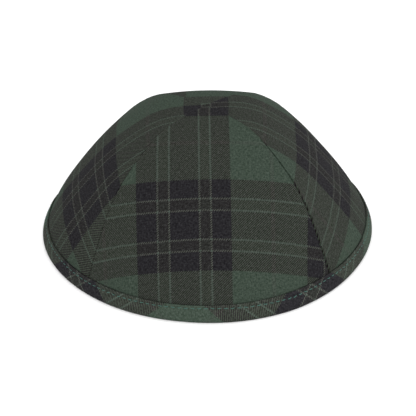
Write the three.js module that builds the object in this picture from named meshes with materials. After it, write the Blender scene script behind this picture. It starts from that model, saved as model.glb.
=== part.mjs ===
// Four-panel kippah of tartan twill: four three-cornered crown panels that meet at the top,
// and a narrow band round the rim. Millimetres, +Z up, the front panel faces -Y.
import * as THREE from 'three';

// Driving sizes of the hat
const RIM_RADIUS = 89.0;        // the band at its widest, before the rim goes out of round
const PANEL_LENGTH = 113;       // cloth down the middle of a panel, from its tip to its lower edge
const PANEL_THICKNESS = 2.0;    // crown cloth with its turnings
const PANEL_FOOT = 8.1;         // height of the panels' lower edges, behind the band's lip
const PIECE_GAP = 0.3;          // clearance between neighbouring pieces
const TIP_HALF_WIDTH = 0.4;     // each panel's tip is cut off this wide, beside its middle

// Sections of a panel. arc: cloth length from the tip, in mm. slope: fall of the cloth down its
// middle, in degrees. dip: how far the seams lie below the middle, square to the cloth, and
// bow: how much further down the slope they lie, both as shares of the section's radius.
const SECTIONS = [
  { arc: 0, slope: 0, dip: 0.000, bow: -0.037 },
  { arc: 16, slope: 8.1, dip: 0.025, bow: -0.020 },
  { arc: 32, slope: 30.9, dip: 0.077, bow: -0.002 },
  { arc: 48, slope: 38.4, dip: 0.123, bow: 0.015 },
  { arc: 64, slope: 47, dip: 0.177, bow: 0.032 },
  { arc: 80, slope: 49.8, dip: 0.244, bow: 0.050 },
  { arc: 96, slope: 53, dip: 0.293, bow: 0.067 },
  { arc: 112, slope: 61.7, dip: 0.310, bow: 0.085 },
  { arc: 128, slope: 70.8, dip: 0.325, bow: 0.102 },
];
const DIP_AT_SEAM_SHARE = 0.174; // share of the dip that falls close to the seams

// Soft cloth is a little out of round. The rim, in shares of its radius:
const RIM_OVAL = 0.012;         // wider from left to right
const RIM_LOBES = 0.012;        // three slight lobes, one of them near the front,
const LOBES_TURN = 7.2;         // turned by this angle, in degrees
// and the crown's back, between the apex and its foot:
const BACK_FULLNESS = 0.048;    // share of the radius, halfway down the middle of the back

// The band's cross-section: the flat ring it rests on, its slanting outside, the folded lip
// that stands in front of the panels' lower edges, the step that they stand on, and its inside
const BAND = {
  footInner: 85.4,
  footOuter: 88.0,
  bulgeHeight: 2.0,
  lipOuter: 86.5,
  lipShoulder: 7.7,
  lipHeight: 8.5,
  crest: 86.2,
  lipInner: 85.8,
  step: PANEL_FOOT - PIECE_GAP,
  stepInner: 83.1,
  inside: 84.8,
};

// How finely the pieces are faceted
const PANEL_ROWS = 17;
const PANEL_COLUMNS = 14;
const BAND_SEGMENTS = 72;
const BAND_CURVE_STEPS = 3;
const ARC_STEP = 0.5;           // of the walk down a panel's middle
const ARC_TOLERANCE = 1e-4;

const CLOTH_COLOUR = 0x3c443e;
const BAND_COLOUR = 0x3f4540;

const sectionTable = new THREE.CubicInterpolant(
  SECTIONS.map((row) => row.arc),
  SECTIONS.flatMap((row) => [THREE.MathUtils.degToRad(row.slope), row.dip, row.bow]),
  3,
);

// The middle of a panel, walked from its tip: radius and fall at every step of cloth
function walkMiddle() {
  const lastArc = SECTIONS[SECTIONS.length - 1].arc;
  const steps = Math.round(lastArc / ARC_STEP);
  const stations = [{ radius: 0, fall: 0 }];
  for (let step = 0; step < steps; step += 1) {
    const [slope] = sectionTable.evaluate((step + 0.5) * ARC_STEP);
    const { radius, fall } = stations[step];
    stations.push({
      radius: radius + ARC_STEP * Math.cos(slope),
      fall: fall + ARC_STEP * Math.sin(slope),
    });
  }
  return stations;
}

const middle = walkMiddle();
const foot = middle[Math.round(PANEL_LENGTH / ARC_STEP)];
const apexHeight = PANEL_FOOT + foot.fall;

function sectionAt(arc) {
  const [slope, dip, bow] = sectionTable.evaluate(arc);
  const step = Math.min(Math.floor(arc / ARC_STEP), middle.length - 2);
  const part = arc / ARC_STEP - step;
  const radius = THREE.MathUtils.lerp(middle[step].radius, middle[step + 1].radius, part);
  const fall = THREE.MathUtils.lerp(middle[step].fall, middle[step + 1].fall, part);
  return { slope, dip: dip * radius, bow: bow * radius, radius, height: apexHeight - fall };
}

// A point of the front panel. across runs from -1 to 1, seam to seam, and depth is the
// distance below the outer face. The side walls lie along the seams, half a gap clear.
function panelPoint(arc, across, depth) {
  const { slope, dip, bow, radius, height } = sectionAt(arc);
  const sine = Math.sin(slope);
  const cosine = Math.cos(slope);
  const faceRadius = radius - depth * sine;
  const halfWidth = faceRadius - dip * sine + bow * cosine - (PIECE_GAP / 2) * Math.SQRT2;
  const square = across * across;
  const sag = dip * square * (1 + DIP_AT_SEAM_SHARE * (square - 1));
  return new THREE.Vector3(
    across * halfWidth,
    -(faceRadius - sag * sine + bow * square * cosine),
    height - depth * cosine - sag * cosine - bow * square * sine,
  );
}

// The arc at which a measure that grows with the arc reaches its target
function solveArc(measure, target) {
  let low = 0;
  let high = SECTIONS[SECTIONS.length - 1].arc;
  while (high - low > ARC_TOLERANCE) {
    const arc = (low + high) / 2;
    if (measure(arc) < target) {
      low = arc;
    } else {
      high = arc;
    }
  }
  return low;
}

// Share by which the rim stands out in a direction, counted from +X towards the back
function rimSwell(angle) {
  const lobe = 3 * (angle - THREE.MathUtils.degToRad(LOBES_TURN));
  return RIM_OVAL * Math.cos(2 * angle) + RIM_LOBES * Math.sin(lobe);
}

// Share by which the crown's back stands out at a radius: nothing at its seams or its foot
function backSwell(angle, radius) {
  const reach = Math.min(1, (radius / foot.radius) ** 2);
  const behind = THREE.MathUtils.smoothstep(2 * Math.sin(angle), 0, 1);
  return 4 * reach * (1 - reach) * behind * BACK_FULLNESS * Math.cos(2 * angle) ** 2;
}

// The share by which everything below a point of the crown's face moves out or in
function crownScale(face, bearing) {
  const angle = Math.atan2(face.y, face.x) + bearing;
  const radius = Math.hypot(face.x, face.y);
  return 1 + (radius / RIM_RADIUS) ** 2 * rimSwell(angle) + backSwell(angle, radius);
}

function panelFace(depth, bearing) {
  const tipArc = solveArc((arc) => panelPoint(arc, 1, depth).x, TIP_HALF_WIDTH);
  const points = [];
  for (let column = 0; column <= PANEL_COLUMNS; column += 1) {
    const across = (2 * column) / PANEL_COLUMNS - 1;
    const footArc = solveArc((arc) => -panelPoint(arc, across, depth).z, -PANEL_FOOT);
    for (let row = 0; row <= PANEL_ROWS; row += 1) {
      const arc = THREE.MathUtils.lerp(tipArc, footArc, row / PANEL_ROWS);
      const scale = crownScale(panelPoint(arc, across, 0), bearing);
      points.push(panelPoint(arc, across, depth).multiply(new THREE.Vector3(scale, scale, 1)));
    }
  }
  return points;
}

// The closed body between an outer and an inner face, each a grid of columns of points
function shellGeometry(outer, inner, columns, rows) {
  const triangles = [];
  const innerStart = outer.length;
  const at = (column, row) => column * (rows + 1) + row;
  const quad = (a, b, c, d) => triangles.push(a, b, c, a, c, d);
  for (let column = 0; column < columns; column += 1) {
    for (let row = 0; row < rows; row += 1) {
      const corners = [
        at(column, row),
        at(column, row + 1),
        at(column + 1, row + 1),
        at(column + 1, row),
      ];
      quad(...corners);
      quad(...corners.map((corner) => corner + innerStart).reverse());
    }
  }
  const wall = (a, b) => quad(a, a + innerStart, b + innerStart, b);
  for (let column = 0; column < columns; column += 1) {
    wall(at(column + 1, 0), at(column, 0));
    wall(at(column, rows), at(column + 1, rows));
  }
  for (let row = 0; row < rows; row += 1) {
    wall(at(0, row), at(0, row + 1));
    wall(at(columns, row + 1), at(columns, row));
  }
  const geometry = new THREE.BufferGeometry().setFromPoints([...outer, ...inner]);
  geometry.setIndex(triangles);
  geometry.computeVertexNormals();
  return geometry;
}

function crownPanel(name, bearing) {
  const outer = panelFace(0, bearing);
  const inner = panelFace(PANEL_THICKNESS, bearing);
  const panel = new THREE.Mesh(
    shellGeometry(outer, inner, PANEL_COLUMNS, PANEL_ROWS),
    new THREE.MeshStandardMaterial({ color: CLOTH_COLOUR, roughness: 0.95, metalness: 0 }),
  );
  panel.name = name;
  panel.rotation.z = bearing;
  return panel;
}

function bandSection() {
  const section = new THREE.Path();
  section.moveTo(BAND.footInner, 0);
  section.lineTo(BAND.footOuter, 0);
  section.quadraticCurveTo(RIM_RADIUS, 0, RIM_RADIUS, BAND.bulgeHeight);
  section.lineTo(BAND.lipOuter, BAND.lipShoulder);
  section.quadraticCurveTo(BAND.lipOuter, BAND.lipHeight, BAND.crest, BAND.lipHeight);
  section.quadraticCurveTo(BAND.lipInner, BAND.lipHeight, BAND.lipInner, BAND.step);
  section.lineTo(BAND.stepInner, BAND.step);
  section.lineTo(BAND.inside, BAND.bulgeHeight);
  section.quadraticCurveTo(BAND.inside, 0, BAND.footInner, 0);
  return section.getPoints(BAND_CURVE_STEPS);
}

function rimBand() {
  const geometry = new THREE.LatheGeometry(bandSection(), BAND_SEGMENTS);
  geometry.rotateX(Math.PI / 2);
  const places = geometry.attributes.position;
  const point = new THREE.Vector3();
  for (let index = 0; index < places.count; index += 1) {
    point.fromBufferAttribute(places, index);
    const reach = (Math.hypot(point.x, point.y) / RIM_RADIUS) ** 2;
    const scale = 1 + reach * rimSwell(Math.atan2(point.y, point.x));
    places.setXYZ(index, point.x * scale, point.y * scale, point.z);
  }
  geometry.computeVertexNormals();
  const band = new THREE.Mesh(
    geometry,
    new THREE.MeshStandardMaterial({ color: BAND_COLOUR, roughness: 0.95, metalness: 0 }),
  );
  band.name = 'rim_band';
  return band;
}

const kippah = new THREE.Group();
kippah.add(crownPanel('panel_front', 0));
kippah.add(crownPanel('panel_right', Math.PI / 2));
kippah.add(crownPanel('panel_back', Math.PI));
kippah.add(crownPanel('panel_left', -Math.PI / 2));
kippah.add(rimBand());

export default kippah;
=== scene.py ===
import math

import bmesh
import bpy
import numpy as np
from mathutils import Matrix, Vector


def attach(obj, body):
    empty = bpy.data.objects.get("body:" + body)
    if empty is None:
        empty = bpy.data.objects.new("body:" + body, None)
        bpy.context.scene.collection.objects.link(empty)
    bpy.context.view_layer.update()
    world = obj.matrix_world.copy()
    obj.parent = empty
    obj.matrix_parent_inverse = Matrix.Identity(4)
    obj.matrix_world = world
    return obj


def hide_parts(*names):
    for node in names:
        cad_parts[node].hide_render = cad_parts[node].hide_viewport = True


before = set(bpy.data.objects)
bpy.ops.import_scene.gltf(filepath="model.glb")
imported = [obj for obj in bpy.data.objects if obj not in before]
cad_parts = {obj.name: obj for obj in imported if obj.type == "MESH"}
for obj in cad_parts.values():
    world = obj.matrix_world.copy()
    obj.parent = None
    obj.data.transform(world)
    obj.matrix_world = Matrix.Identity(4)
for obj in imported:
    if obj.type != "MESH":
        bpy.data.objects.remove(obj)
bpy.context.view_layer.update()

MM = 0.001

# Driving sizes of the hat, the same as in the CAD source
RIM_RADIUS = 89.0
PANEL_LENGTH = 113.0
PANEL_FOOT = 8.1
RIM_OVAL = 0.012
RIM_LOBES = 0.012
LOBES_TURN = math.radians(7.2)
BACK_FULLNESS = 0.048
SECTION_STEP = 16.0
SECTION_SLOPES = np.radians([0, 8.1, 30.9, 38.4, 47.0, 49.8, 53.0, 61.7, 70.8])
SECTION_DIPS = np.array([0, 0.025, 0.077, 0.123, 0.177, 0.244, 0.293, 0.310, 0.325])
SECTION_BOWS = np.array([-0.037, -0.020, -0.002, 0.015, 0.032, 0.050, 0.067, 0.085, 0.102])
DIP_AT_SEAM_SHARE = 0.174
WALK_STEP = 0.5

# The four panels: bearing of each in quarter turns from the front one
PANEL_TURNS = {"front": 0, "right": 1, "back": 2, "left": 3}

# Make-up of a crown panel
LEFT_FULLNESS = 0.015           # share by which the left panel stands out, as the back does
CLOTH_THICKNESS = 1.7           # the seam turnings bring it to the CAD's 2 mm
SEAM_CLEARANCE = 0.02           # panels meet along the seams, this far from the seam's plane
TIP_ARC = 0.4                   # cloth length from the apex to a panel's cut tip
FOOT_ROLL = 0.5                 # radius over which the cloth rolls down behind the band
SEAM_ROLLS = (0.95, 0.5, 0.5, 0.7)   # and into the seam right of each panel, by its turns
ROLL_ARCS = (18.0, 60.0)        # a seam's roll grows between these lengths from the tip,
ROLL_SHARES = (0.12, 1.0)       # from the first share of its radius to the second
SEAM_SLOTS = (0.3, 0.0, 0.0, 0.05)  # each seam stands open this far on either side,
SLOT_ARCS = (22.0, 36.0)        # from the first length to the second on,
SLOT_REACH = 1.2                # and draws the cloth in this far from it
NARROW_ROLL_SHARE = 0.45        # near the tip a roll takes at most this share of the half-width
DEEPEST_ROLL = 1.3              # where two rolls meet
PUCKER_LENGTH = 6.5             # of the small tucks along a seam
PUCKER_DEPTH = 0.06
PUCKER_REACH = 5.0
PUCKER_PHASES = (2.1, 4.2)      # of the tucks left and right of a panel's middle, in radians
PUCKER_DRIFT = 1.4              # how far the phase drifts along a seam, and how fast
PUCKER_DRIFT_LENGTHS = (23.0, 37.0)
PUCKER_CHANGE = 0.4             # how much the tucks' depth changes along a seam, and how fast
PUCKER_CHANGE_LENGTHS = (17.0, 29.0)
WAVE_HEIGHT = 0.22              # of the slow waves in a panel
WAVE_LENGTHS = (34.0, 47.0, 71.0)
WAVE_MARGIN = 12.0              # they die out this near a panel's edges
TURNING_WIDTH = 6.0             # of the seam turnings inside the hat, their height,
TURNING_HEIGHT = 0.35           # and the width of their sloping edge
TURNING_EDGE = 1.2

# Fineness of a panel's mesh: rows and columns at these distances from an edge, then even ones
EDGE_STEPS = np.array([0, 0.08, 0.2, 0.36, 0.56, 0.8, 1.1, 1.5, 2.1, 3.0])
FULL_STEPS_WIDTH = 22.0         # the edge columns crowd together where the half-width is smaller
INNER_COLUMNS = 72
INNER_ROWS = 92
ROW_LENGTH_STEPS = 24           # of the walk along a row
FOOT_ROUNDS = 4                 # of placing the columns at the foot
BISECTIONS = 24
SHARP_EDGE = math.radians(48)
WELD_DISTANCE = 0.001

# The band's section, in millimetres from the axis and up: from the outer edge of its foot up
# the outside, over the lip, down to the step that the panels stand on, over the inner lip, and
# down the inside
BAND_OUTLINE = np.array([
    (87.5, 0.0), (88.3, 0.15), (88.9, 1.2), (88.85, 2.5), (88.3, 4.2), (87.6, 5.8),
    (87.0, 6.9), (86.75, 7.35), (86.75, 7.75), (86.55, 8.3), (86.15, 8.6), (85.7, 8.55),
    (85.6, 8.1), (85.65, 7.75), (85.4, 7.7), (83.9, 6.9), (83.55, 7.2), (83.3, 8.0),
    (82.95, 8.8), (82.45, 9.2), (81.9, 8.9), (81.95, 7.8), (83.0, 5.0), (84.1, 2.4),
    (84.6, 0.6), (85.2, 0.0), (86.5, 0.0),
])
OUTLINE_ROUNDS = 2              # corner-cutting rounds that smooth it, and the share of
CORNER_CUT = 0.25               # a side that each cuts off at either end
BAND_WANDER = 0.12              # how far the outside strays, in slow waves counted round the rim
BAND_WAVES = (9, 17, 26)
BAND_SEED = 50
BAND_TILT = 0.08                # the band stands higher on the right than on the left,
SETTLE_REACH = 8.0              # and the crown follows it, up to about this far above it
# How far the band flares beyond its round, by bearings from the front to the right, in degrees
FLARE_BEARINGS = (-90, -60, -35, -8, 28, 60, 90)
FLARES = (0.0, 0.1, 0.2, -0.25, 0.65, -0.2, 0.15)
FLARE_FADE = (3.0, 8.0)         # heights between which the flare dies out
JOIN_HEIGHT = 0.35              # the band's end lies over its start, at the back
JOIN_REACH = 5.0
JOIN_FADE = (85.7, 87.0)        # radii between which the overlap rises

# The row of stitches that holds the band
STITCH_COUNT = 170
STITCH_HEIGHT = 7.8             # where the row runs highest, and how far it strays down
STRAY_BEARINGS = (-80, -65, -45, -30, -20, 0, 10, 28, 45, 60, 80)
STRAYS = (0.3, 0.5, 1.1, 1.0, 0.7, 0.2, 0.8, 1.4, 0.7, 0.9, 1.0)
STITCH_LENGTH = 2.3             # of the thread that shows
THREAD_RADIUS = 0.18
THREAD_LIFT = 0.06              # the middle of a stitch lies this far above the cloth,
THREAD_DIVE = 0.42              # and its ends sink below it by this much
THREAD_CHANCE = (0.06, 0.25)    # how far a stitch's lift and the tilt of its course vary
THREAD_SEED = 60
THREAD_SIDES = 8
THREAD_STEPS = 8
STEPS_PER_STITCH = 6
TUCK_DEPTH = 0.16               # of the dents at the needle holes
TUCK_REACH = 0.9

# The tartan's sett, in yarns, from the left or upper edge of a black stripe
YARN_PITCH = 0.29
WARP_SETT = (
    ("black", 36), ("line", 3), ("olive", 17), ("line", 3), ("black", 48), ("line", 3),
    ("olive", 16), ("line", 3), ("black", 32), ("green", 68), ("mauve", 7), ("green", 61),
)
WEFT_SETT = (
    ("black", 32), ("line", 3), ("olive", 17), ("line", 3), ("black", 46), ("line", 3),
    ("olive", 16), ("line", 3), ("black", 31), ("green", 64), ("mauve", 7), ("green", 66),
)
YARN_COLOURS = {
    "black": (36, 35.5, 37.5),
    "olive": (40.5, 41.5, 39.5),
    "green": (54, 63, 55.5),
    "mauve": (57.5, 64, 58),
    "line": (63, 71.5, 66),
}
# Where a black stripe starts on each panel, right of its middle, and below the apex, and how
# far the weft drops for each millimetre to the right
WARP_START = {"front": -35.35, "right": -27.9, "back": 10.5, "left": -0.35}
WEFT_START = 51.4
WEFT_DROP = {"front": 0.006, "right": 0.020, "back": 0.0, "left": -0.011}
# The right panel's warp leans towards the front near the apex
WARP_LEAN = {"front": 0.0, "right": 0.0012, "back": 0.0, "left": 0.0}
LEAN_LENGTH = 75.0
BAND_STRETCH = 1.10             # of the bias strip, along the rim
BAND_PLACE = (-5.3, -18.6)      # the sett's place on the band, below the front's middle

# The twill's weave and the look of its yarns
TWILL_REPEAT = 4.0
TWILL_OVER = 2.0
SCREEN_GAMMA = 2.2
YARN_CONTRAST = 0.2             # how much a yarn stands out from the one it crosses
CROSSING_TINT = (0.02, -0.09, -0.065)   # and how their fuzz tints it, by their difference
WEFT_HEIGHT = 0.8               # of the weft yarns, as a share of the warp's; the weft's painted shade follows it
YARN_SHADE = (0.72, 0.50)       # painted shade: colour kept at a yarn's sides, and what its roundness adds
TONE_STEP = 0.45                # likeness of neighbouring yarns: less is more alike
TONE_RUN = 6.0                  # yarns over which a yarn keeps its tone
TONE_SPREAD = 0.165             # how much the tone varies, yarn by yarn
FUZZ_SCALE = 0.3                # patches of fuzz to a yarn's width, and how much they vary
FUZZ_SPREAD = 0.125
BUMP_STRENGTH = 0.5
BUMP_DEPTH = 0.1
CLOTH_ROUGHNESS = 0.9
CLOTH_SPECULAR = 0.03
CLOTH_SHEEN = 0.006
SHEEN_ROUGHNESS = 0.5
# Lightness of each cloth; the band's is painted light, a lighter copy of the crown's cloth
CROWN_GAIN = 1.0
BAND_PAINTED_LIGHT = 1.25

THREAD_COLOUR = (60, 94, 86)
THREAD_ROUGHNESS = 0.6
THREAD_SPECULAR = 0.2
PLY_LENGTH = 0.5                # of the thread's twist
PLY_SHADE = (0.66, 0.5)         # painted shade between the plies, and what their roundness adds

# The studio
FLOOR_HALF = 4.0
FLOOR_WHITE = 0.92
WORLD_STRENGTH = 1.03
SOFTBOX_SIZE = 1.2
SOFTBOX_DISTANCE = 1.6
# The softboxes: bearing from the front to the right and elevation, in degrees, and watts
SOFTBOXES = {"front_softbox": (0, 50, 12.0), "side_softbox": (90, 15, 9.5)}

# The camera, fitted to the photograph's outline, seams and stripes
CAMERA_ELEVATION = math.radians(29.41)
CAMERA_DISTANCE = 566.25
CAMERA_ROLL = math.radians(0.914)
CAMERA_TARGET = (0.0, 0.0, 30.0)
FOCAL_PIXELS = 1055.1
IMAGE_PIXELS = 416.0
TARGET_PIXEL = (207.19, 178.05)
SENSOR_WIDTH = 36.0


def from_sections(values, arc):
    """A section value at any arc, by cubic steps between the sections"""
    place = np.clip(np.asarray(arc) / SECTION_STEP, 0, len(values) - 1)
    index = np.minimum(place.astype(int), len(values) - 2)
    part = place - index
    tangents = np.gradient(values)
    square, cube = part ** 2, part ** 3
    return ((2 * cube - 3 * square + 1) * values[index]
            + (cube - 2 * square + part) * tangents[index]
            + (3 * square - 2 * cube) * values[index + 1]
            + (cube - square) * tangents[index + 1])


def walk_middle():
    """Radius and fall of the cloth down a panel's middle, at every step of its length"""
    middles = np.arange(0, (len(SECTION_SLOPES) - 1) * SECTION_STEP, WALK_STEP) + WALK_STEP / 2
    slopes = from_sections(SECTION_SLOPES, middles)
    radii = np.concatenate([[0], np.cumsum(WALK_STEP * np.cos(slopes))])
    falls = np.concatenate([[0], np.cumsum(WALK_STEP * np.sin(slopes))])
    return WALK_STEP * np.arange(len(radii)), radii, falls


WALK_ARCS, WALK_RADII, WALK_FALLS = walk_middle()
APEX_HEIGHT = PANEL_FOOT + np.interp(PANEL_LENGTH, WALK_ARCS, WALK_FALLS)
FOOT_RADIUS = np.interp(PANEL_LENGTH, WALK_ARCS, WALK_RADII)


def half_width_at(arc, depth=0.0):
    """Distance from a panel's middle to its seam, level and square to the middle"""
    slope = from_sections(SECTION_SLOPES, arc)
    radius = np.interp(arc, WALK_ARCS, WALK_RADII)
    dip = from_sections(SECTION_DIPS, arc) * radius
    bow = from_sections(SECTION_BOWS, arc) * radius
    clearance = SEAM_CLEARANCE * math.sqrt(2)
    return radius - (depth + dip) * np.sin(slope) + bow * np.cos(slope) - clearance


def panel_point(arc, across, depth):
    """Points of the front panel: across is -1 to 1, seam to seam, depth is below its face"""
    slope = from_sections(SECTION_SLOPES, arc)
    sine, cosine = np.sin(slope), np.cos(slope)
    radius = np.interp(arc, WALK_ARCS, WALK_RADII)
    height = APEX_HEIGHT - np.interp(arc, WALK_ARCS, WALK_FALLS)
    square = across ** 2
    sag = from_sections(SECTION_DIPS, arc) * radius * square
    sag = sag * (1 + DIP_AT_SEAM_SHARE * (square - 1))
    bow = from_sections(SECTION_BOWS, arc) * radius * square
    return np.stack([
        across * half_width_at(arc, depth),
        -(radius - depth * sine - sag * sine + bow * cosine),
        height - (depth + sag) * cosine - bow * sine,
    ], axis=-1)


def smooth_step(value, low, high):
    """0 below low, 1 above high, and a soft rise between"""
    part = np.clip((value - low) / (high - low), 0, 1)
    return part * part * (3 - 2 * part)


def rim_swell(angle):
    """Share by which the rim stands out in a direction, counted from +X towards the back"""
    return RIM_OVAL * np.cos(2 * angle) + RIM_LOBES * np.sin(3 * (angle - LOBES_TURN))


def panel_swell(angle, radius, facing, fullness):
    """Share by which one panel stands out: nothing at its seams or its foot"""
    reach = np.minimum(1, (radius / FOOT_RADIUS) ** 2)
    inside = smooth_step(2 * facing, 0, 1)
    return 4 * reach * (1 - reach) * inside * fullness * np.cos(2 * angle) ** 2


def crown_scale(face):
    """The share by which everything below a point of the crown's face moves out or in"""
    angle = np.arctan2(face[..., 1], face[..., 0])
    radius = np.hypot(face[..., 0], face[..., 1])
    fuller = panel_swell(angle, radius, np.sin(angle), BACK_FULLNESS)
    fuller = fuller + panel_swell(angle, radius, -np.cos(angle), LEFT_FULLNESS)
    return 1 + (radius / RIM_RADIUS) ** 2 * rim_swell(angle) + fuller


def band_scale(points):
    """The share by which a point of the band moves out or in"""
    angle = np.arctan2(points[..., 1], points[..., 0])
    radius = np.hypot(points[..., 0], points[..., 1])
    return 1 + (radius / RIM_RADIUS) ** 2 * rim_swell(angle)


def settled(points):
    """The crown's points, its foot lifted or lowered with the band's upper edge"""
    near = np.exp(-np.maximum(points[..., 2] - PANEL_FOOT, 0) / SETTLE_REACH)
    rise = BAND_TILT * PANEL_FOOT * near * points[..., 0] / RIM_RADIUS
    return points + rise[..., None] * np.array([0, 0, 1])


def scaled_level(points, scale):
    """Points moved out from the hat's axis, or in, without rising"""
    return points * np.stack([scale, scale, np.ones_like(scale)], axis=-1)


def foot_arc(across):
    """The arc at which a panel's face comes down to its foot"""
    low = np.zeros_like(across)
    high = np.full_like(across, (len(SECTION_SLOPES) - 1) * SECTION_STEP)
    for _ in range(BISECTIONS):
        arc = (low + high) / 2
        above = panel_point(arc, across, 0.0)[..., 2] > PANEL_FOOT
        low, high = np.where(above, arc, low), np.where(above, high, arc)
    return low


def columns_across(half_width):
    """Where a panel's columns run in each row: close together along the seams"""
    steps = EDGE_STEPS * np.minimum(1, half_width / FULL_STEPS_WIDTH)[..., None]
    edge = steps / half_width[..., None]
    inner = (1 - edge[..., -1:]) * np.linspace(-1, 1, INNER_COLUMNS + 1)[1:-1]
    return np.concatenate([edge - 1, inner, 1 - edge[..., ::-1]], axis=-1)


def rows_down(last):
    """Arcs of a panel's rows for each column's last arc: close together at the foot"""
    share = np.linspace(0, 1, INNER_ROWS + 1)[:-1, None]
    inner = TIP_ARC + (last - EDGE_STEPS[-1] - TIP_ARC) * share
    return np.concatenate([inner, last - EDGE_STEPS[::-1, None]])


def columns_of(arcs):
    """across of a grid whose arcs are known, column by column"""
    columns = range(arcs.shape[1])
    return np.stack([columns_across(half_width_at(arcs[:, c]))[:, c] for c in columns], axis=1)


def panel_grid():
    """Arc and across of every grid point of a panel's face, rows by columns"""
    last_across = columns_across(half_width_at(np.array([PANEL_LENGTH])))[0]
    for _ in range(FOOT_ROUNDS):
        arcs = rows_down(foot_arc(last_across))
        across = columns_of(arcs)
        last_across = across[-1]
    return arcs, across


def length_along_row(arc, across):
    """Cloth length from a panel's middle to a point, along its row, signed as across is"""
    shares = np.linspace(0, 1, ROW_LENGTH_STEPS + 1)
    path = panel_point(arc[..., None], across[..., None] * shares, 0.0)
    lengths = np.linalg.norm(np.diff(path, axis=-2), axis=-1).sum(axis=-1)
    return np.sign(across) * lengths


def roll(distance, radius):
    """Depth of cloth that rolls down over an edge, by the distance from the edge"""
    inside = np.clip(radius - distance, 0, radius)
    return radius - np.sqrt(np.maximum(radius ** 2 - inside ** 2, 0))


def uneven(distance, lengths, seed):
    """A wave of several lengths with random phases, between about -1 and 1"""
    chance = np.random.default_rng(seed)
    waves = [np.sin(2 * math.pi * (distance / length + chance.random())) for length in lengths]
    return sum(waves) / len(lengths)


def seam_roll_radius(arcs, lengths, seam_distance, turns):
    """Radius of the roll into the nearer seam: small near the tip, and each seam has its own"""
    full = np.where(lengths > 0, SEAM_ROLLS[turns], SEAM_ROLLS[turns - 1])
    grown = full * np.interp(arcs, ROLL_ARCS, ROLL_SHARES)
    return np.minimum(grown, NARROW_ROLL_SHARE * (seam_distance + np.abs(lengths)))


def face_relief(arcs, lengths, seam_distance, foot_distance, turns):
    """Depth of a panel's face below its smooth shape: rolled edges, tucks and slow waves"""
    seed = 10 * turns
    seam_radius = seam_roll_radius(arcs, lengths, seam_distance, turns)
    rolled = roll(seam_distance, seam_radius) + roll(foot_distance, FOOT_ROLL)
    drift = PUCKER_DRIFT * uneven(arcs, PUCKER_DRIFT_LENGTHS, seed)
    phase = np.where(lengths < 0, *PUCKER_PHASES) + drift
    strength = 1 + PUCKER_CHANGE * (uneven(arcs, PUCKER_CHANGE_LENGTHS, seed + 1) - 1)
    tucks = strength * np.sin(2 * math.pi * arcs / PUCKER_LENGTH + phase)
    near_seam = np.exp(-(seam_distance / PUCKER_REACH) ** 2)
    waves = uneven(arcs, WAVE_LENGTHS, seed + 2) * uneven(lengths, WAVE_LENGTHS, seed + 3)
    calm = np.clip(np.minimum(seam_distance, foot_distance) / WAVE_MARGIN, 0, 1)
    depth = np.minimum(rolled, DEEPEST_ROLL)
    return depth + PUCKER_DEPTH * tucks * near_seam + WAVE_HEIGHT * waves * calm


def drawn_across(arcs, across, lengths, seam_distance, turns):
    """across of the face's points where the seams stand a little open"""
    slot = np.where(lengths > 0, SEAM_SLOTS[turns], SEAM_SLOTS[turns - 1])
    slot = slot * smooth_step(arcs, *SLOT_ARCS) * np.exp(-(seam_distance / SLOT_REACH) ** 2)
    return across * (1 - slot / half_width_at(arcs))


def turning_depth(seam_distance, foot_distance):
    """Depth of a panel's inner face: the cloth, and the seam turnings pressed flat on it"""
    inside = 1 - smooth_step(seam_distance, TURNING_WIDTH - TURNING_EDGE, TURNING_WIDTH)
    clear = smooth_step(foot_distance, 2 * TURNING_EDGE, 4 * TURNING_EDGE)
    return CLOTH_THICKNESS + TURNING_HEIGHT * inside * clear


def grid_quads(rows, columns):
    """Corner numbers of the quads of a grid of points"""
    corner = np.arange(rows * columns).reshape(rows, columns)
    quads = np.stack([corner[:-1, :-1], corner[1:, :-1], corner[1:, 1:], corner[:-1, 1:]], -1)
    return quads.reshape(-1, 4)


def make_piece(name, grids, material):
    """A mesh from grids of (points, cloth places), welded where their edges coincide"""
    points, places, quads, start = [], [], [], 0
    for grid_points, grid_places in grids:
        rows, columns = grid_points.shape[:2]
        points.append(grid_points.reshape(-1, 3))
        places.append(grid_places.reshape(-1, 2))
        quads.append(grid_quads(rows, columns) + start)
        start += rows * columns
    points, places, quads = (np.concatenate(part) for part in (points, places, quads))
    mesh = bpy.data.meshes.new(name)
    mesh.from_pydata((points * MM).tolist(), [], quads.tolist())
    layer = mesh.uv_layers.new(name="cloth")
    layer.data.foreach_set("uv", (places[quads.ravel()] * MM).ravel())
    weld(mesh)
    mesh.materials.append(material)
    mesh.shade_smooth()
    mesh.set_sharp_from_angle(angle=SHARP_EDGE)
    piece = bpy.data.objects.new(name, mesh)
    bpy.context.scene.collection.objects.link(piece)
    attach(piece, "root")
    return piece


def weld(mesh):
    """Joins coinciding corners and turns all faces outwards"""
    shell = bmesh.new()
    shell.from_mesh(mesh)
    bmesh.ops.remove_doubles(shell, verts=shell.verts, dist=WELD_DISTANCE * MM)
    bmesh.ops.recalc_face_normals(shell, faces=shell.faces)
    shell.to_mesh(mesh)
    shell.free()


def turned(points, quarter_turns):
    """Points turned about the hat's axis"""
    x, y, z = points[..., 0], points[..., 1], points[..., 2]
    for _ in range(quarter_turns):
        x, y = -y, x
    return np.stack([x, y, z], axis=-1)


def tartan_places(side, arcs, across, lengths):
    """Where the tartan lies on a panel, in millimetres right and down from its sett's start"""
    level = panel_point(arcs, across, 0.0)[..., 0]
    lean = WARP_LEAN[side] * np.maximum(0, LEAN_LENGTH - arcs) ** 2
    return np.stack([
        lengths + lean - WARP_START[side],
        arcs - WEFT_DROP[side] * level - WEFT_START,
    ], axis=-1)


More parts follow.
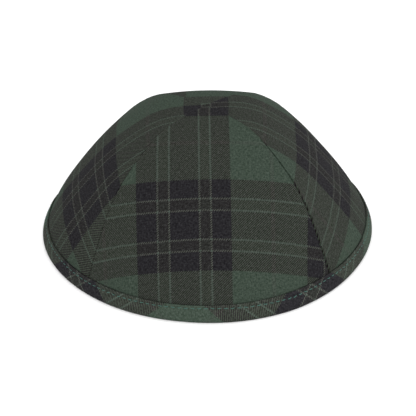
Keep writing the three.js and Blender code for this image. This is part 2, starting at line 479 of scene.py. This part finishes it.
def crown_panel(side, material):
    """One panel: its face with rolled edges, its inner face, and the cut edges between"""
    turns = PANEL_TURNS[side]
    arcs, across = panel_grid()
    lengths = length_along_row(arcs, across)
    seam_distance = length_along_row(arcs, np.ones_like(across)) - np.abs(lengths)
    foot_distance = arcs[-1:] - arcs
    relief = face_relief(arcs, lengths, seam_distance, foot_distance, turns)
    inner_depth = turning_depth(seam_distance, foot_distance)
    scale = crown_scale(turned(panel_point(arcs, across, 0.0), turns))
    drawn = drawn_across(arcs, across, lengths, seam_distance, turns)
    outer = settled(scaled_level(turned(panel_point(arcs, drawn, relief), turns), scale))
    inner = settled(scaled_level(turned(panel_point(arcs, across, inner_depth), turns), scale))
    places = tartan_places(side, arcs, across, lengths)
    grids = [(outer, places), (inner, places)]
    for edge in (np.s_[:1], np.s_[-1:], np.s_[:, :1], np.s_[:, -1:]):
        axis = 0 if outer[edge].shape[0] == 1 else 1
        grids.append((
            np.concatenate([outer[edge], inner[edge]], axis=axis),
            np.concatenate([places[edge], places[edge]], axis=axis),
        ))
    piece = make_piece("crown_" + side, grids, material)
    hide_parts("panel_" + side)


def rounded(outline):
    """A closed outline with its corners cut, round after round"""
    for _ in range(OUTLINE_ROUNDS):
        after = np.roll(outline, -1, axis=0)
        start = (1 - CORNER_CUT) * outline + CORNER_CUT * after
        end = CORNER_CUT * outline + (1 - CORNER_CUT) * after
        outline = np.stack([start, end], axis=1).reshape(-1, 2)
    return outline


def by_bearing(angle, bearings, values):
    """A value known at some bearings, at any angle round the rim"""
    return np.interp(np.degrees(angle), bearings, values, period=360)


def stitch_height(angle):
    """Height of the row of stitches, which strays a little"""
    return STITCH_HEIGHT - by_bearing(angle, STRAY_BEARINGS, STRAYS)


def needle_dents(angle, height):
    """How far the cloth is drawn in round each needle hole between two stitches"""
    pitch = 2 * math.pi * RIM_RADIUS / STITCH_COUNT
    along = (RIM_RADIUS * angle + pitch / 2) % pitch - pitch / 2
    distance = np.hypot(along, height - stitch_height(angle))
    return TUCK_DEPTH * np.exp(-(distance / TUCK_REACH) ** 2)


def band_swell(angle, radius, height):
    """How far a point of the band lies beyond the band's plain round section"""
    lengths = [2 * math.pi / waves for waves in BAND_WAVES]
    wander = BAND_WANDER * uneven(angle, lengths, BAND_SEED) * np.clip(height / STITCH_HEIGHT, 0, 1)
    outside = smooth_step(radius, *JOIN_FADE)
    flare = by_bearing(angle, FLARE_BEARINGS, FLARES) * (1 - smooth_step(height, *FLARE_FADE))
    return wander + outside * (flare - needle_dents(angle, height))


def band_point(angle, radius, height):
    """Points of the band. angle runs round the rim from the front, to the right"""
    reach = radius + band_swell(angle, radius, height)
    x, y = reach * np.sin(angle), -reach * np.cos(angle)
    points = np.stack([x, y, height * (1 + BAND_TILT * np.sin(angle))], axis=-1)
    return scaled_level(points, band_scale(points))


def rim_band(material):
    """The band: a bias strip folded over the crown's edge, its ends joined aslant at the back"""
    outline = rounded(BAND_OUTLINE)
    outline = np.concatenate([outline, outline[:1]])
    steps = np.linalg.norm(np.diff(outline, axis=0), axis=-1)
    up = np.concatenate([[0], np.cumsum(steps)])[:, None]
    radius, height = outline[:, :1], outline[:, 1:]
    turn = np.linspace(-math.pi, math.pi, STITCH_COUNT * STEPS_PER_STITCH + 1)
    overlap = JOIN_HEIGHT * np.exp((turn - math.pi) * RIM_RADIUS / JOIN_REACH)
    # The last column stands on the overlap's edge, and one more comes down to the first
    turn, overlap = np.append(turn, turn[-1]), np.append(overlap, 0.0)
    angle = turn + height / RIM_RADIUS
    lapped = radius + overlap * smooth_step(radius, *JOIN_FADE)
    points = band_point(angle, lapped, height)
    along = RIM_RADIUS * angle / BAND_STRETCH
    places = np.stack([
        (along + up) / math.sqrt(2) + BAND_PLACE[0],
        (along - up) / math.sqrt(2) + BAND_PLACE[1],
    ], axis=-1)
    piece = make_piece("band", [(points, places)], material)
    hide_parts("rim_band")


def outside_radius(height):
    """Radius of the band's outside at a height"""
    outline = rounded(BAND_OUTLINE)
    above = int(np.argmax(outline[:, 1] > STITCH_HEIGHT + THREAD_RADIUS)) + 1
    return np.interp(height, outline[:above, 1], outline[:above, 0])


def stitch_grid(angle, lift, tilt):
    """One stitch: an arch of thread that ends inside the cloth"""
    share = np.linspace(-1, 1, THREAD_STEPS + 1)[:, None]
    around = np.linspace(0, 2 * math.pi, THREAD_SIDES + 1)[None]
    place = angle + share * STITCH_LENGTH / 2 / RIM_RADIUS
    level = stitch_height(place) + tilt * share
    arch = lift - (lift + THREAD_DIVE) * share ** 4
    radius = outside_radius(level) + arch + THREAD_RADIUS * np.cos(around)
    points = band_point(place, radius, level + THREAD_RADIUS * np.sin(around))
    places = np.stack(np.broadcast_arrays(share * STITCH_LENGTH / 2, around * THREAD_RADIUS), -1)
    return points, places


def topstitching(material):
    """The row of stitches that holds the band"""
    pitch = 2 * math.pi / STITCH_COUNT
    chance = np.random.default_rng(THREAD_SEED).uniform(-1, 1, (STITCH_COUNT, 2))
    grids = []
    for number, (lift, tilt) in enumerate(THREAD_CHANCE * chance):
        grids.append(stitch_grid(pitch * (number + 0.5), THREAD_LIFT + lift, tilt))
    piece = make_piece("topstitching", grids, material)


def linear(colour):
    """Scene colour of a screen colour given in 255ths, by the sRGB standard's curve"""
    shares = [channel / 255 for channel in colour]
    return [c / 12.92 if c <= 0.04045 else ((c + 0.055) / 1.055) ** 2.4 for c in shares] + [1.0]


def connect(tree, source, socket):
    """Joins an output to a socket, or sets the socket to a value"""
    if isinstance(source, bpy.types.NodeSocket):
        tree.links.new(source, socket)
    else:
        socket.default_value = source


def calculate(tree, operation, *values):
    """A Math node's result"""
    node = tree.nodes.new("ShaderNodeMath")
    node.operation = operation
    for value, socket in zip(values, node.inputs):
        connect(tree, value, socket)
    return node.outputs["Value"]


def mix(tree, kind, share, first, second):
    """A Mix node's result, for colours or numbers"""
    node = tree.nodes.new("ShaderNodeMix")
    node.data_type = kind
    node.clamp_factor = False
    suffix = {"RGBA": "Color", "FLOAT": "Float"}[kind]
    inputs = {socket.identifier: socket for socket in node.inputs}
    connect(tree, share, inputs["Factor_Float"])
    connect(tree, first, inputs["A_" + suffix])
    connect(tree, second, inputs["B_" + suffix])
    outputs = {socket.identifier: socket for socket in node.outputs}
    return outputs["Result_" + suffix]


def noise(tree, x, y):
    """Soft noise over two coordinates, 0 to 1"""
    place = tree.nodes.new("ShaderNodeCombineXYZ")
    connect(tree, x, place.inputs["X"])
    connect(tree, y, place.inputs["Y"])
    node = tree.nodes.new("ShaderNodeTexNoise")
    node.inputs["Scale"].default_value = 1.0
    node.inputs["Detail"].default_value = 1.0
    tree.links.new(place.outputs["Vector"], node.inputs["Vector"])
    return node.outputs["Fac"]


def spread(tree, value, amount):
    """A noise value made to vary about 0, by an amount"""
    return calculate(tree, "MULTIPLY_ADD", value, amount, -amount / 2)


def stripes(tree, yarn, sett):
    """Colour of a numbered yarn by the sett, as seen on a screen"""
    ends = np.cumsum([count for _, count in sett])
    place = calculate(tree, "FLOORED_MODULO", yarn, float(ends[-1]))
    colours = [[channel / 255 for channel in YARN_COLOURS[name]] + [1.0] for name, _ in sett]
    colour = colours[-1]
    for stripe, end in zip(colours[-2::-1], ends[-2::-1]):
        before = calculate(tree, "LESS_THAN", place, end - 0.5)
        colour = mix(tree, "RGBA", before, colour, stripe)
    return colour


def vector(tree, operation, *values, output="Vector"):
    """A Vector Math node's result"""
    node = tree.nodes.new("ShaderNodeVectorMath")
    node.operation = operation
    for value, socket in zip(values, node.inputs):
        connect(tree, value, socket)
    return node.outputs[output]


def crossing(tree, shows, below, above):
    """Colour where two yarns cross: the one that shows, tinted by the fuzz of both"""
    share = calculate(tree, "MULTIPLY_ADD", shows, 1 + 2 * YARN_CONTRAST, -YARN_CONTRAST)
    gap = vector(tree, "LENGTH", vector(tree, "SUBTRACT", above, below), output="Value")
    tint = vector(tree, "MULTIPLY", gap, CROSSING_TINT)
    return vector(tree, "ADD", mix(tree, "RGBA", share, below, above), tint)


def as_light(tree, colour):
    """Turns a colour as seen on a screen into light"""
    node = tree.nodes.new("ShaderNodeGamma")
    tree.links.new(colour, node.inputs["Color"])
    node.inputs["Gamma"].default_value = SCREEN_GAMMA
    return node.outputs["Color"]


def new_material(name):
    """A material with only its shader and output"""
    material = bpy.data.materials.new(name)
    material.use_nodes = True
    tree = material.node_tree
    return material, tree, tree.nodes["Principled BSDF"]


def cloth_axes(tree):
    """The two coordinates of a place on the cloth, in metres"""
    place = tree.nodes.new("ShaderNodeUVMap")
    place.uv_map = "cloth"
    axes = tree.nodes.new("ShaderNodeSeparateXYZ")
    tree.links.new(place.outputs["UV"], axes.inputs["Vector"])
    return axes.outputs["X"], axes.outputs["Y"]


def shaded(tree, colour, shade, shader):
    """Sets the shader's colour to a colour scaled by a shade"""
    scale = tree.nodes.new("ShaderNodeVectorMath")
    scale.operation = "SCALE"
    connect(tree, colour, scale.inputs["Vector"])
    tree.links.new(shade, scale.inputs["Scale"])
    tree.links.new(scale.outputs["Vector"], shader.inputs["Base Color"])


def raised(tree, height, shader):
    """Bumps the shader's normal by a height, 0 to 1"""
    bump = tree.nodes.new("ShaderNodeBump")
    bump.inputs["Strength"].default_value = BUMP_STRENGTH
    bump.inputs["Distance"].default_value = BUMP_DEPTH * MM
    tree.links.new(height, bump.inputs["Height"])
    tree.links.new(bump.outputs["Normal"], shader.inputs["Normal"])


def ridge(tree, place):
    """Roundness of a yarn across its width: 0 at its sides, 1 on top"""
    offset = calculate(tree, "MULTIPLY_ADD", calculate(tree, "FRACT", place), 2.0, -1.0)
    return calculate(tree, "SUBTRACT", 1.0, calculate(tree, "MULTIPLY", offset, offset))


def yarn_tone(tree, yarn, along):
    """Each yarn's own tone, which changes slowly along it"""
    row = calculate(tree, "MULTIPLY", yarn, TONE_STEP)
    return noise(tree, row, calculate(tree, "DIVIDE", along, TONE_RUN))


def fuzz_tone(tree, right, down):
    """Lighter and darker patches of fuzz"""
    scaled = [calculate(tree, "MULTIPLY", place, FUZZ_SCALE) for place in (right, down)]
    return spread(tree, noise(tree, *scaled), FUZZ_SPREAD)


def yarn_height(tree, warp_shows, right, down):
    """Height of the yarn that shows: 0 at its sides, 1 on top of a warp yarn"""
    weft_ridge = calculate(tree, "MULTIPLY", ridge(tree, down), WEFT_HEIGHT)
    return mix(tree, "FLOAT", warp_shows, weft_ridge, ridge(tree, right))


def tartan_twill(name, painted_light_gain):
    """Two-and-two twill woven from the tartan's yarns, its diagonals rising to the right"""
    material, tree, shader = new_material(name)
    right, down = (calculate(tree, "DIVIDE", axis, YARN_PITCH * MM) for axis in cloth_axes(tree))
    warp, weft = calculate(tree, "FLOOR", right), calculate(tree, "FLOOR", down)
    step = calculate(tree, "FLOORED_MODULO", calculate(tree, "ADD", warp, weft), TWILL_REPEAT)
    warp_shows = calculate(tree, "LESS_THAN", step, TWILL_OVER - 0.5)
    warp_colour, weft_colour = stripes(tree, warp, WARP_SETT), stripes(tree, weft, WEFT_SETT)
    colour = crossing(tree, warp_shows, weft_colour, warp_colour)
    tones = yarn_tone(tree, weft, right), yarn_tone(tree, warp, down)
    tone = mix(tree, "FLOAT", warp_shows, *tones)
    lift = calculate(tree, "ADD", spread(tree, tone, TONE_SPREAD), fuzz_tone(tree, right, down))
    height = yarn_height(tree, warp_shows, right, down)
    # Painted shade: the colour is darkened towards each yarn's sides and on the lower weft yarns
    painted_yarn_shade = calculate(tree, "MULTIPLY_ADD", height, YARN_SHADE[1], YARN_SHADE[0])
    # Painted light: the band's cloth is made lighter by this gain
    shade = calculate(tree, "MULTIPLY", painted_yarn_shade, painted_light_gain)
    shaded(tree, as_light(tree, vector(tree, "ADD", colour, lift)), shade, shader)
    raised(tree, height, shader)
    shader.inputs["Roughness"].default_value = CLOTH_ROUGHNESS
    shader.inputs["Specular IOR Level"].default_value = CLOTH_SPECULAR
    shader.inputs["Sheen Weight"].default_value = CLOTH_SHEEN
    shader.inputs["Sheen Roughness"].default_value = SHEEN_ROUGHNESS
    return material


def thread_material():
    """Sewing thread, its plies showing as slanting ridges"""
    material, tree, shader = new_material("thread")
    along, around = cloth_axes(tree)
    twist = calculate(tree, "ADD", along, around)
    ply = ridge(tree, calculate(tree, "DIVIDE", twist, PLY_LENGTH * MM))
    # Painted shade: the thread's colour is darkened between its plies
    shade = calculate(tree, "MULTIPLY_ADD", ply, PLY_SHADE[1], PLY_SHADE[0])
    shaded(tree, linear(THREAD_COLOUR)[:3], shade, shader)
    raised(tree, ply, shader)
    shader.inputs["Roughness"].default_value = THREAD_ROUGHNESS
    shader.inputs["Specular IOR Level"].default_value = THREAD_SPECULAR
    return material


def floor():
    """A plain pale floor"""
    material, _, shader = new_material("floor")
    shader.inputs["Base Color"].default_value = (FLOOR_WHITE, FLOOR_WHITE, FLOOR_WHITE, 1)
    shader.inputs["Roughness"].default_value = 1.0
    shader.inputs["Specular IOR Level"].default_value = 0.0
    mesh = bpy.data.meshes.new("floor")
    corners = [(-FLOOR_HALF, -FLOOR_HALF, 0), (FLOOR_HALF, -FLOOR_HALF, 0),
               (FLOOR_HALF, FLOOR_HALF, 0), (-FLOOR_HALF, FLOOR_HALF, 0)]
    mesh.from_pydata(corners, [], [(0, 1, 2, 3)])
    mesh.materials.append(material)
    plane = bpy.data.objects.new("floor", mesh)
    bpy.context.scene.collection.objects.link(plane)


def lights():
    """Even white surroundings and the softboxes"""
    world = bpy.data.worlds.new("studio")
    bpy.context.scene.world = world
    world.use_nodes = True
    background = world.node_tree.nodes["Background"]
    background.inputs["Color"].default_value = (1, 1, 1, 1)
    background.inputs["Strength"].default_value = WORLD_STRENGTH
    for name, (bearing, elevation, power) in SOFTBOXES.items():
        softbox(name, math.radians(bearing), math.radians(elevation), power)


def softbox(name, bearing, elevation, power):
    """A large round lamp that faces the hat"""
    light = bpy.data.lights.new(name, "AREA")
    light.shape = "DISK"
    light.size = SOFTBOX_SIZE
    light.energy = power
    lamp = bpy.data.objects.new(name, light)
    level = math.cos(elevation)
    direction = (level * math.sin(bearing), -level * math.cos(bearing), math.sin(elevation))
    lamp.location = SOFTBOX_DISTANCE * Vector(direction)
    lamp.rotation_euler = (-lamp.location).to_track_quat("-Z", "Y").to_euler()
    bpy.context.scene.collection.objects.link(lamp)


def camera():
    """A camera at the photograph's angle"""
    data = bpy.data.cameras.new("camera")
    data.sensor_width = SENSOR_WIDTH
    data.lens = SENSOR_WIDTH * FOCAL_PIXELS / IMAGE_PIXELS
    data.shift_x = (IMAGE_PIXELS / 2 - TARGET_PIXEL[0]) / IMAGE_PIXELS
    data.shift_y = (TARGET_PIXEL[1] - IMAGE_PIXELS / 2) / IMAGE_PIXELS
    sine, cosine = math.sin(CAMERA_ELEVATION), math.cos(CAMERA_ELEVATION)
    back = Vector((0, -cosine, sine))
    level, up = Vector((1, 0, 0)), Vector((0, sine, cosine))
    right = math.cos(CAMERA_ROLL) * level - math.sin(CAMERA_ROLL) * up
    top = math.sin(CAMERA_ROLL) * level + math.cos(CAMERA_ROLL) * up
    place = (Vector(CAMERA_TARGET) + CAMERA_DISTANCE * back) * MM
    eye = bpy.data.objects.new("camera", data)
    eye.matrix_world = Matrix.Translation(place) @ Matrix((right, top, back)).transposed().to_4x4()
    bpy.context.scene.collection.objects.link(eye)
    bpy.context.scene.camera = eye


cloth = tartan_twill("crown_twill", CROWN_GAIN)
band_cloth = tartan_twill("band_twill", BAND_PAINTED_LIGHT)
for panel_side in PANEL_TURNS:
    crown_panel(panel_side, cloth)
rim_band(band_cloth)
topstitching(thread_material())
floor()
lights()
camera()
bpy.context.scene.view_settings.view_transform = "Standard"
